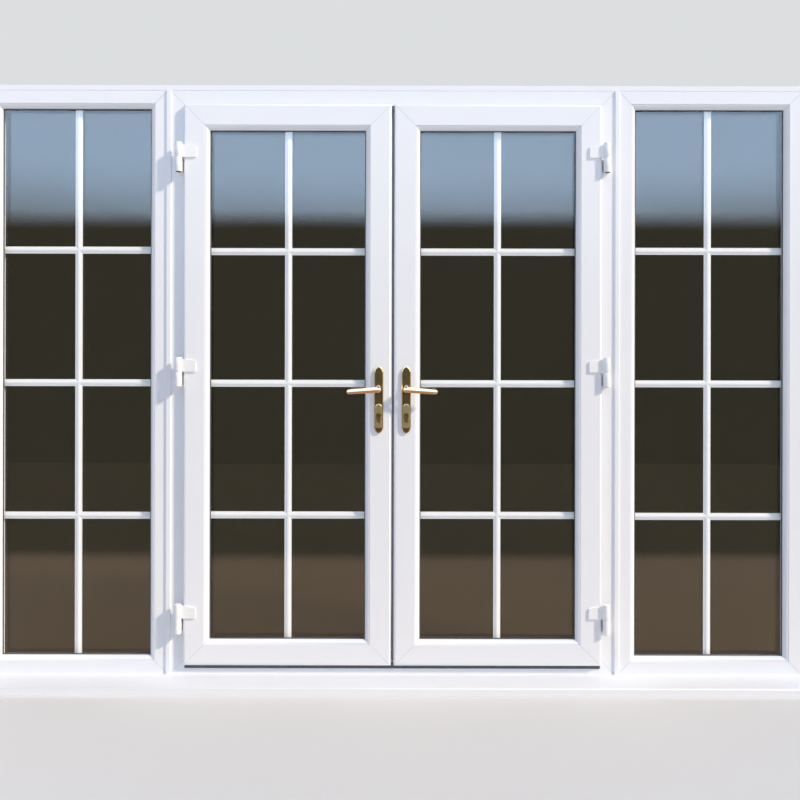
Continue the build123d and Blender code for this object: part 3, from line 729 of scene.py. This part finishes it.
@dataclass
class ScrewHead:
    """A cross-recessed screw head, turned and then punched."""

    radius: float = 4.2 * MM
    height: float = 1.1 * MM
    recess_arm: float = 2.5 * MM
    recess_half_width: float = 0.55 * MM
    recess_depth: float = 0.9 * MM
    recess_floor_share: float = 0.7  # the floor's size over that of the recess's mouth
    flat_top_share: float = 1.05  # the flat top's radius over the arm of the recess
    segments: int = 24
    dome_steps: int = 4

    def outline(self) -> list[tuple[float, float]]:
        """Draws the dome's profile, from the rim to the edge of the flat top.

        Returns:
            The radius and the height of each ring.
        """
        turns = [math.radians(90 * i / self.dome_steps) for i in range(self.dome_steps)]
        dome = [(self.radius * math.cos(turn), self.height * math.sin(turn)) for turn in turns]
        return dome + [(self.recess_arm * self.flat_top_share, self.height)]

    def add_to(self, mesh: bmesh.types.BMesh, seat: Matrix) -> None:
        """Adds one head to a mesh.

        Args:
            mesh: The mesh that gets the head.
            seat: Where the head sits. Its Z points away from the surface.
        """
        levels = [([radius] * self.segments, height) for radius, height in self.outline()]
        rings = add_rings(mesh, seat, levels)
        self._add_recess(mesh, seat, rings[-1])
        mesh.faces.new(list(reversed(rings[0])))

    def _add_recess(
        self, mesh: bmesh.types.BMesh, seat: Matrix, rim: list[bmesh.types.BMVert]
    ) -> None:
        """Closes the head's flat top round a cross-shaped recess.

        Args:
            mesh: The mesh that gets the faces.
            seat: Where the head sits.
            rim: The vertices round the flat top.
        """
        arm, half = self.recess_arm, self.recess_half_width
        quarter = [(arm, -half), (arm, half), (half, half)]
        cross = []
        for turn in range(4):
            spin = Matrix.Rotation(math.radians(90 * turn), 2)
            cross += [spin @ Vector(point) for point in quarter]
        share, depth = self.recess_floor_share, self.height - self.recess_depth
        top = [mesh.verts.new(seat @ Vector((p.x, p.y, self.height))) for p in cross]
        floor = [mesh.verts.new(seat @ Vector((p.x * share, p.y * share, depth))) for p in cross]
        count = len(cross)
        for i in range(count):
            j = (i + 1) % count
            mesh.faces.new((top[j], top[i], floor[i], floor[j]))
        mesh.faces.new(floor)
        per_quarter = self.segments // 4
        middle = per_quarter // 2
        for turn in range(4):
            tip = turn * len(quarter)
            near, far, corner = top[tip], top[tip + 1], top[tip + 2]
            end = top[(tip + len(quarter)) % count]
            first = turn * per_quarter
            arc = [rim[(first + i) % self.segments] for i in range(per_quarter + 1)]
            mesh.faces.new([far, *arc[: middle + 1], corner])
            mesh.faces.new([corner, *arc[middle:], end])
            mesh.faces.new((near, arc[0], far))


@dataclass
class HingePlug:
    """The moulded bush in the foot of a hinge barrel, with a hexagonal socket for its key."""

    radius: float = 10.8 * MM
    proud: float = 1.0 * MM
    lip: float = 0.5 * MM
    socket_radius: float = 3.5 * MM
    socket_floor: float = 0.1 * MM
    socket_sides: int = 6
    segments: int = 24

    def _socket_reach(self, turn: float) -> float:
        """How far the socket's wall stands from its middle, at an angle in radians."""
        sector = math.radians(360 / self.socket_sides)
        return self.socket_radius * math.cos(sector / 2) / math.cos(turn % sector - sector / 2)

    def add_to(self, mesh: bmesh.types.BMesh, seat: Matrix) -> None:
        """Adds one plug to a mesh.

        Args:
            mesh: The mesh that gets the plug.
            seat: Where the plug sits. Its Z points away from the barrel.
        """
        wall = [self.radius] * self.segments
        lip = [self.radius - self.lip] * self.segments
        socket = [self._socket_reach(2 * math.pi * i / self.segments) for i in range(self.segments)]
        levels = [
            (wall, 0.0),
            (wall, self.proud - self.lip),
            (lip, self.proud),
            (socket, self.proud),
            (socket, self.socket_floor),
        ]
        rings = add_rings(mesh, seat, levels)
        mesh.faces.new(rings[-1])
        mesh.faces.new(list(reversed(rings[0])))


def row_of(
    name: str,
    seats: list[Matrix],
    form: ScrewHead | HingePlug,
    material: bpy.types.Material,
    body: str,
) -> bpy.types.Object:
    """Makes one piece out of a row of small ones.

    Args:
        name: The piece's name.
        seats: Where each one sits.
        form: The form that is repeated.
        material: The finish.
        body: The CAD body that carries the row.

    Returns:
        The new object.
    """
    shape = bmesh.new()
    for seat in seats:
        form.add_to(shape, seat)
    bmesh.ops.recalc_face_normals(shape, faces=shape.faces)
    mesh = bpy.data.meshes.new(name)
    shape.to_mesh(mesh)
    shape.free()
    mesh.materials.append(material)
    piece = bpy.data.objects.new(name, mesh)
    bpy.context.collection.objects.link(piece)
    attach(piece, body)
    LOG.info("%s: %d on %s", name, len(seats), body)
    return piece


def looking(point: Vector, direction: Vector) -> Matrix:
    """A seat at a point whose Z looks along a direction.

    Args:
        point: Where the seat is.
        direction: The way that its Z looks.

    Returns:
        The seat as a matrix.
    """
    turn = direction.to_track_quat("Z", "Y").to_matrix().to_4x4()
    return Matrix.Translation(point) @ turn


# ---------------------------------------------------------------- the finishes in use


def backplate_brass() -> bpy.types.Material:
    """Makes the backplates' finish, polished but for the raised hoods round the cylinders.

    Returns:
        The material.
    """
    outer_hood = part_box("left_outer_backplate")[0][1]
    inner_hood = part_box("left_inner_backplate")[1][1]
    return PolishedBrass(
        "polished_brass_plate",
        "#C8B084",
        "#A88D5C",
        0.22,
        brushed_faces=(outer_hood, inner_hood),
    ).make()


@dataclass
class Palette:
    """Every finish on the doors, made once and shared."""

    upvc: ExtrudedUpvc = field(default_factory=ExtrudedUpvc)
    bar: bpy.types.Material = field(
        default_factory=PowderCoat("powder_coated_aluminium_bar", "#F8F9F9", 0.30).make
    )
    hinge: bpy.types.Material = field(
        default_factory=PowderCoat("powder_coated_zinc_hinge", "#F4F4F2", 0.24).make
    )
    clear_glass: bpy.types.Material = field(
        default_factory=FloatGlass("clear_float_glass", "#FDFEFE").make
    )
    # The inner pane's deep brown grey tint is painted shade for a dark room behind the doors.
    painted_shade_glass: bpy.types.Material = field(
        default_factory=FloatGlass("painted_shade_float_glass", "#2E2A1E").make
    )
    rubber: bpy.types.Material = field(default_factory=EpdmRubber().make)
    grey_rubber: bpy.types.Material = field(
        default_factory=EpdmRubber("extruded_grey_seal", "#77787B", "#8E8F92").make
    )
    plate_brass: bpy.types.Material = field(default_factory=backplate_brass)
    lever_brass: bpy.types.Material = field(
        default_factory=PolishedBrass("polished_brass_lever", "#CFB193", "#BC9973", 0.24).make
    )
    cylinder_brass: bpy.types.Material = field(
        default_factory=PolishedBrass("turned_brass_cylinder", "#C4A468", "#A98A52", 0.28).make
    )
    steel: bpy.types.Material = field(default_factory=ZincPlatedSteel().make)
    # The bush's dark brown is painted shade for the foot of each hinge barrel.
    bush: bpy.types.Material = field(default_factory=MouldedNylon().make)


# ---------------------------------------------------------------- the doors


@dataclass
class OuterFrame:
    """The sill, the head extension, the couplers and the door frame."""

    palette: Palette

    def dress(self) -> None:
        """Gives each of its nodes a finish."""
        upvc = self.palette.upvc
        dress("door_frame", upvc.mitred("door_frame"), UPVC_EDGE_MM)
        dress("door_threshold", upvc.straight("threshold", False), UPVC_EDGE_MM)
        sill = upvc.straight("sill", False)
        dress("cill", sill, UPVC_EDGE_MM)
        dress("head_extension", sill)
        dress("cill_end_caps", upvc.straight("end_caps", False))
        dress("coupler_bars", upvc.straight("couplers", True))
        dress("frame_seal", self.palette.rubber)
        dress("shootbolt_keeps", self.palette.steel)


@dataclass
class GlazedLight:
    """A sealed unit with its bars, gaskets and beads, in a leaf or a sidelight."""

    palette: Palette
    prefix: str

    def dress(self) -> None:
        """Gives each of its nodes a finish."""
        dress(f"{self.prefix}_outer_pane", self.palette.clear_glass)
        # Its dark tint is painted shade, standing in for a dark room behind the doors.
        dress(f"{self.prefix}_inner_pane", self.palette.painted_shade_glass)
        dress(f"{self.prefix}_bar_grid", self.palette.bar)
        dress(f"{self.prefix}_gasket", self.palette.rubber)
        beads = f"{self.prefix}_beads"
        dress(beads, self.palette.upvc.mitred(beads), UPVC_EDGE_MM)


@dataclass
class Sidelight:
    """One fixed light beside the doors."""

    palette: Palette
    side: Side

    def dress(self) -> None:
        """Gives its frame and its glazing their finishes."""
        prefix = f"{self.side.value}_sidelight"
        node = f"{prefix}_frame"
        dress(node, self.palette.upvc.mitred(node), UPVC_EDGE_MM)
        GlazedLight(self.palette, prefix).dress()


@dataclass
class LockStrip:
    """The steel faceplate in a leaf's meeting edge, with its screws."""

    palette: Palette
    side: Side
    end_inset: float = 24 * MM
    case_inset: float = 60 * MM
    gap_shares: tuple[float, ...] = (0.35, 0.65)
    head: ScrewHead = field(default_factory=lambda: ScrewHead(radius=3.4 * MM, height=0.5 * MM))

    def dress(self) -> None:
        """Gives the strip and what slides in it a plated finish, and adds the screws."""
        name = self.side.value
        dress(f"{name}_lock_strip", self.palette.steel)
        if self.side is Side.LEFT:
            dress("latch", self.palette.steel)
            dress("locking_bar", self.palette.steel)
        else:
            dress("top_shootbolt", self.palette.steel)
            dress("bottom_shootbolt", self.palette.steel)
        self._add_screws()

    def _add_screws(self) -> None:
        """Adds the screws that hold the strip, at its ends and between the gear and the ends."""
        name = self.side.value
        low, high = (Vector(corner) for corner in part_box(f"{name}_lock_strip"))
        case_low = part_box(f"{name}_key_cylinder")[0][2]
        outward = 1 if self.side is Side.LEFT else -1
        face_x = high.x if self.side is Side.LEFT else low.x
        middle_y = (low.y + high.y) / 2
        below = (low.z + self.end_inset, case_low - self.case_inset)
        above = (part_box("latch")[1][2] + self.case_inset, high.z - self.end_inset)
        heights = [
            start + (end - start) * share
            for start, end in (below, above)
            for share in (0.0, *self.gap_shares, 1.0)
        ]
        row_of(
            f"{name}_strip_screws",
            [looking(Vector((face_x, middle_y, z)), Vector((outward, 0, 0))) for z in heights],
            self.head,
            self.palette.steel,
            f"{name}_leaf",
        )


@dataclass
class HandleSet:
    """One leaf's levers, backplates, spindle and key cylinder."""

    palette: Palette
    side: Side
    screw_inset: float = 16 * MM
    plate_thickness: float = 9 * MM
    head: ScrewHead = field(default_factory=lambda: ScrewHead(radius=3.6 * MM))

    def dress(self) -> None:
        """Gives the brassware its finishes and adds the screws of the inner plate."""
        name = self.side.value
        for face in Face:
            dress(f"{name}_{face.value}_backplate", self.palette.plate_brass, BRASS_EDGE_MM)
            dress(f"{name}_{face.value}_lever", self.palette.lever_brass, BRASS_EDGE_MM)
        dress(f"{name}_key_cylinder", self.palette.cylinder_brass)
        dress(f"{name}_spindle", self.palette.steel)
        self._add_plate_screws()

    def _add_plate_screws(self) -> None:
        """Adds the two screws that hold the plates from indoors."""
        name = self.side.value
        low, high = (Vector(corner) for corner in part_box(f"{name}_inner_backplate"))
        face_y = low.y + self.plate_thickness
        centre_x = (low.x + high.x) / 2
        seats = [
            looking(Vector((centre_x, face_y, z)), Vector((0, 1, 0)))
            for z in (low.z + self.screw_inset, high.z - self.screw_inset)
        ]
        row_of(
            f"{name}_plate_screws",
            seats,
            self.head,
            self.palette.cylinder_brass,
            f"{name}_leaf",
        )


@dataclass
class HingeSet:
    """The three flag hinges of one leaf."""

    palette: Palette
    side: Side
    plug: HingePlug = field(default_factory=HingePlug)
    least_spacing: float = 200 * MM
    rim_tolerance: float = 0.1 * MM

    def dress(self) -> None:
        """Gives the hinges their finish and adds the plugs in the feet of their barrels."""
        name = self.side.value
        dress(f"{name}_hinge_flags", self.palette.hinge, HINGE_EDGE_MM)
        dress(f"{name}_hinge_brackets", self.palette.hinge, HINGE_EDGE_MM)
        dress(f"{name}_hinge_pins", self.palette.steel)
        # The plugs are real bushes; their dark brown is painted shade under the barrels.
        row_of(
            f"{name}_hinge_plugs",
            [looking(foot, Vector((0, 0, -1))) for foot in self._feet()],
            self.plug,
            self.palette.bush,
            "frame",
        )

    def _feet(self) -> list[Vector]:
        """Finds the middle of the underside of each barrel.

        Returns:
            One point for each hinge, from the lowest up.
        """
        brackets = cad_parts[f"{self.side.value}_hinge_brackets"]
        points = sorted(
            (vertex.co for vertex in brackets.data.vertices), key=lambda point: point.z
        )
        starts = [points[0].z]
        for lower, upper in zip(points, points[1:]):
            if upper.z - lower.z > self.least_spacing:
                starts.append(upper.z)
        feet = []
        for start in starts:
            rim = [point for point in points if abs(point.z - start) < self.rim_tolerance]
            middle_x = (min(p.x for p in rim) + max(p.x for p in rim)) / 2
            middle_y = (min(p.y for p in rim) + max(p.y for p in rim)) / 2
            feet.append(Vector((middle_x, middle_y, start)))
        return feet


@dataclass
class Leaf:
    """One opening leaf with its glazing, hinges, lock and handles."""

    palette: Palette
    side: Side

    def dress(self) -> None:
        """Gives the leaf's own nodes their finishes."""
        name = self.side.value
        sash = f"{name}_sash"
        dress(sash, self.palette.upvc.mitred(sash), UPVC_EDGE_MM)
        GlazedLight(self.palette, f"{name}_leaf").dress()
        HingeSet(self.palette, self.side).dress()
        LockStrip(self.palette, self.side).dress()
        HandleSet(self.palette, self.side).dress()
        if self.side is Side.RIGHT:
            dress("floating_mullion", self.palette.upvc.straight("mullion", True))
            dress("meeting_seal", self.palette.grey_rubber)
            dress("mullion_keep", self.palette.steel)


# ---------------------------------------------------------------- studio


@dataclass(frozen=True)
class Floor:
    """A plain pale floor under the sill."""

    colour: str = "#E4E4E2"
    size: float = 60.0
    gap: float = 0.5 * MM
    grain_per_metre: float = 3.0
    roughness_from: float = 0.75
    roughness_to: float = 0.9

    def build(self) -> None:
        """Lays the floor."""
        half = self.size / 2
        corners = [(-half, -half, 0), (half, -half, 0), (half, half, 0), (-half, half, 0)]
        mesh = bpy.data.meshes.new("floor")
        mesh.from_pydata(corners, [], [(0, 1, 2, 3)])
        floor = bpy.data.objects.new("floor", mesh)
        floor.location.z = -self.gap
        bpy.context.collection.objects.link(floor)
        material, tree = empty_material("pale_floor")
        place = add_node(tree, "ShaderNodeTexCoord").outputs["Object"]
        grain = add_node(
            tree, "ShaderNodeTexNoise", {"Vector": place, "Scale": self.grain_per_metre}
        ).outputs[0]
        rough = add_node(
            tree,
            "ShaderNodeMapRange",
            {"Value": grain, "To Min": self.roughness_from, "To Max": self.roughness_to},
        ).outputs[0]
        shader = add_node(
            tree,
            "ShaderNodeBsdfPrincipled",
            {
                "Base Color": linear(self.colour),
                "Roughness": rough,
                "Specular IOR Level": 0.0,
            },
        )
        close_material(tree, shader.outputs[0])
        mesh.materials.append(material)


@dataclass(frozen=True)
class Surround:
    """The world: a soft ambient light, a plain pale backdrop for the eye, and a bright sky that
    only glass and metal mirror."""

    backdrop: str = "#DCDEE0"
    ambient: str = "#B2CCF8"
    ambient_strength: float = 0.6
    sky: str = "#BDD9F8"
    sky_strength: float = 4.3
    sky_start_deg: float = 6.0
    sky_full_deg: float = 12.0

    def build(self) -> None:
        """Makes the world."""
        world = bpy.data.worlds.new("pale_surround")
        bpy.context.scene.world = world
        world.use_nodes = True
        tree = world.node_tree
        tree.nodes.clear()
        ray = add_node(tree, "ShaderNodeLightPath").outputs
        seen = add_node(
            tree,
            "ShaderNodeBackground",
            {"Color": self._view_colour(tree, ray["Glossy Depth"]), "Strength": 1.0},
        )
        lit = add_node(
            tree,
            "ShaderNodeBackground",
            {"Color": linear(self.ambient), "Strength": self.ambient_strength},
        )
        direct = add_node(
            tree,
            "ShaderNodeMath",
            {0: ray["Is Camera Ray"], 1: ray["Is Glossy Ray"]},
            operation="MAXIMUM",
        ).outputs[0]
        viewed = add_node(
            tree,
            "ShaderNodeMath",
            {0: direct, 1: ray["Is Transmission Ray"]},
            operation="MAXIMUM",
        ).outputs[0]
        mixed = add_node(
            tree, "ShaderNodeMixShader", {0: viewed, 1: lit.outputs[0], 2: seen.outputs[0]}
        )
        add_node(tree, "ShaderNodeOutputWorld", {"Surface": mixed.outputs[0]})

    def _view_colour(
        self, tree: bpy.types.NodeTree, bounces: bpy.types.NodeSocket
    ) -> bpy.types.NodeSocket:
        """Colours what a ray meets: the backdrop, or the sky after a mirror.

        Args:
            tree: The world's node tree.
            bounces: How many mirrors the ray has met.

        Returns:
            The colour.
        """
        direction = add_node(tree, "ShaderNodeTexCoord").outputs["Generated"]
        height = add_node(tree, "ShaderNodeSeparateXYZ", {"Vector": direction}).outputs["Z"]
        rise = add_node(
            tree,
            "ShaderNodeMapRange",
            {
                "Value": height,
                "From Min": math.sin(math.radians(self.sky_start_deg)),
                "From Max": math.sin(math.radians(self.sky_full_deg)),
            },
            interpolation_type="SMOOTHSTEP",
        ).outputs[0]
        mirrored = add_node(
            tree, "ShaderNodeMath", {0: bounces, 1: MIRRORED_ABOVE}, operation="GREATER_THAN"
        ).outputs[0]
        share = add_node(
            tree, "ShaderNodeMath", {0: rise, 1: mirrored}, operation="MULTIPLY"
        ).outputs[0]
        bright = [channel * self.sky_strength for channel in linear(self.sky)[:3]] + [1.0]
        return add_node(
            tree,
            "ShaderNodeMix",
            {"Factor": share, "A": linear(self.backdrop), "B": bright},
            data_type="RGBA",
        ).outputs["Result"]


@dataclass(frozen=True)
class SunLamp:
    """A far lamp. It stands to the right of the doors' own view by its turn, and the wider it
    looks, the softer its shadows are."""

    name: str
    turn_deg: float
    height_deg: float
    strength: float
    angle_deg: float
    mirrored: bool = False
    colour: str = "#FFEFD7"

    def build(self) -> None:
        """Hangs the lamp."""
        lamp = bpy.data.lights.new(self.name, "SUN")
        lamp.energy = self.strength
        lamp.angle = math.radians(self.angle_deg)
        lamp.color = linear(self.colour)[:3]
        holder = bpy.data.objects.new(self.name, lamp)
        turn, height = math.radians(self.turn_deg), math.radians(self.height_deg)
        ahead = math.cos(height)
        towards = Vector((math.sin(turn) * ahead, -math.cos(turn) * ahead, math.sin(height)))
        holder.rotation_euler = towards.to_track_quat("Z", "Y").to_euler()
        holder.visible_glossy = self.mirrored
        holder.visible_transmission = False
        bpy.context.collection.objects.link(holder)


@dataclass(frozen=True)
class DarkFlag:
    """A dark cloth that hangs before the doors and lies along the floor to a sandy near end, so
    that the glass and the brass have something to mirror. Only their mirror images show it."""

    colour: str = "#787260"
    near_colour: str = "#E3C6A6"
    distance: float = 6.0
    half_width: float = 9.0
    soft_from: float = 2.48
    soft_to: float = 2.72
    near_edge: float = 0.25
    near_from: float = 1.70
    near_to: float = 2.05
    floor_gap: float = 2 * MM

    def build(self) -> None:
        """Hangs the cloth and lays it."""
        y, half, top = -self.distance, self.half_width, self.soft_to
        near, low = -self.near_edge, self.floor_gap
        mesh = bpy.data.meshes.new("dark_flag")
        mesh.from_pydata(
            [
                (-half, y, low),
                (half, y, low),
                (half, y, top),
                (-half, y, top),
                (-half, near, low),
                (half, near, low),
            ],
            [],
            [(0, 1, 2, 3), (0, 1, 5, 4)],
        )
        flag = bpy.data.objects.new("dark_flag", mesh)
        bpy.context.collection.objects.link(flag)
        mesh.materials.append(self._cloth())
        for view in ("camera", "diffuse", "shadow", "volume_scatter"):
            setattr(flag, f"visible_{view}", False)

    def _cloth(self) -> bpy.types.Material:
        """Makes the cloth, which fades out at its top and for rays that met no mirror.

        Returns:
            The material.
        """
        material, tree = empty_material("dark_flag_cloth")
        place = add_node(tree, "ShaderNodeTexCoord").outputs["Object"]
        parts = add_node(tree, "ShaderNodeSeparateXYZ", {"Vector": place}).outputs
        high = add_node(
            tree,
            "ShaderNodeMapRange",
            {"Value": parts["Z"], "From Min": self.soft_from, "From Max": self.soft_to},
            interpolation_type="SMOOTHSTEP",
        ).outputs[0]
        close = add_node(
            tree,
            "ShaderNodeMapRange",
            {"Value": parts["Y"], "From Min": -self.near_to, "From Max": -self.near_from},
            interpolation_type="SMOOTHSTEP",
        ).outputs[0]
        bounces = add_node(tree, "ShaderNodeLightPath").outputs["Glossy Depth"]
        straight = add_node(
            tree, "ShaderNodeMath", {0: bounces, 1: MIRRORED_ABOVE}, operation="LESS_THAN"
        ).outputs[0]
        fade = add_node(
            tree, "ShaderNodeMath", {0: high, 1: straight}, operation="MAXIMUM"
        ).outputs[0]
        tone = add_node(
            tree,
            "ShaderNodeMix",
            {"Factor": close, "A": linear(self.colour), "B": linear(self.near_colour)},
            data_type="RGBA",
        ).outputs["Result"]
        cloth = add_node(tree, "ShaderNodeBsdfDiffuse", {"Color": tone})
        clear = add_node(tree, "ShaderNodeBsdfTransparent")
        mixed = add_node(
            tree, "ShaderNodeMixShader", {0: fade, 1: cloth.outputs[0], 2: clear.outputs[0]}
        )
        close_material(tree, mixed.outputs[0])
        return material


@dataclass(frozen=True)
class FrontCamera:
    """The camera where the photograph was taken from, square to the doors, with its slight roll."""

    place: tuple[float, float, float] = (0.0785, -3.074, 1.1927)
    tilt_deg: float = 90.0
    roll_deg: float = -0.12
    lens_mm: float = 38.5
    sensor_mm: float = 36.0
    shift_x: float = -0.0183
    shift_y: float = -0.06

    def build(self) -> None:
        """Stands the camera and makes it the scene's."""
        lens = bpy.data.cameras.new("camera")
        lens.lens = self.lens_mm
        lens.sensor_width = self.sensor_mm
        lens.shift_x = self.shift_x
        lens.shift_y = self.shift_y
        camera = bpy.data.objects.new("camera", lens)
        camera.location = self.place
        camera.rotation_euler = (math.radians(self.tilt_deg), math.radians(self.roll_deg), 0)
        bpy.context.collection.objects.link(camera)
        bpy.context.scene.camera = camera


@dataclass(frozen=True)
class Studio:
    """A plain pale floor, a pale surround, soft light and the camera."""

    floor: Floor = Floor()
    surround: Surround = Surround()
    key: SunLamp = SunLamp(
        "key_sun", turn_deg=63.0, height_deg=35.0, strength=3.28, angle_deg=4.0, mirrored=True
    )
    front: SunLamp = SunLamp(
        "front_fill", turn_deg=-12.0, height_deg=28.0, strength=0.22, angle_deg=60.0
    )
    back: SunLamp = SunLamp(
        "back_fill", turn_deg=205.0, height_deg=20.0, strength=0.6, angle_deg=60.0
    )
    flag: DarkFlag = DarkFlag()
    camera: FrontCamera = FrontCamera()

    def build(self) -> None:
        """Sets up the floor, the surround, the lamps, the cloth and the camera, in order."""
        self.floor.build()
        self.surround.build()
        for lamp in (self.key, self.front, self.back):
            lamp.build()
        self.flag.build()
        self.camera.build()


def main() -> None:
    """Dresses every node, adds the small pieces and sets up the studio."""
    logging.basicConfig(level=logging.INFO, format="%(message)s")
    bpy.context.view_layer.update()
    palette = Palette()
    OuterFrame(palette).dress()
    for side in Side:
        Sidelight(palette, side).dress()
        Leaf(palette, side).dress()
    Studio().build()
    bpy.context.scene.view_settings.view_transform = "Standard"


if __name__ == "__main__":
    main()
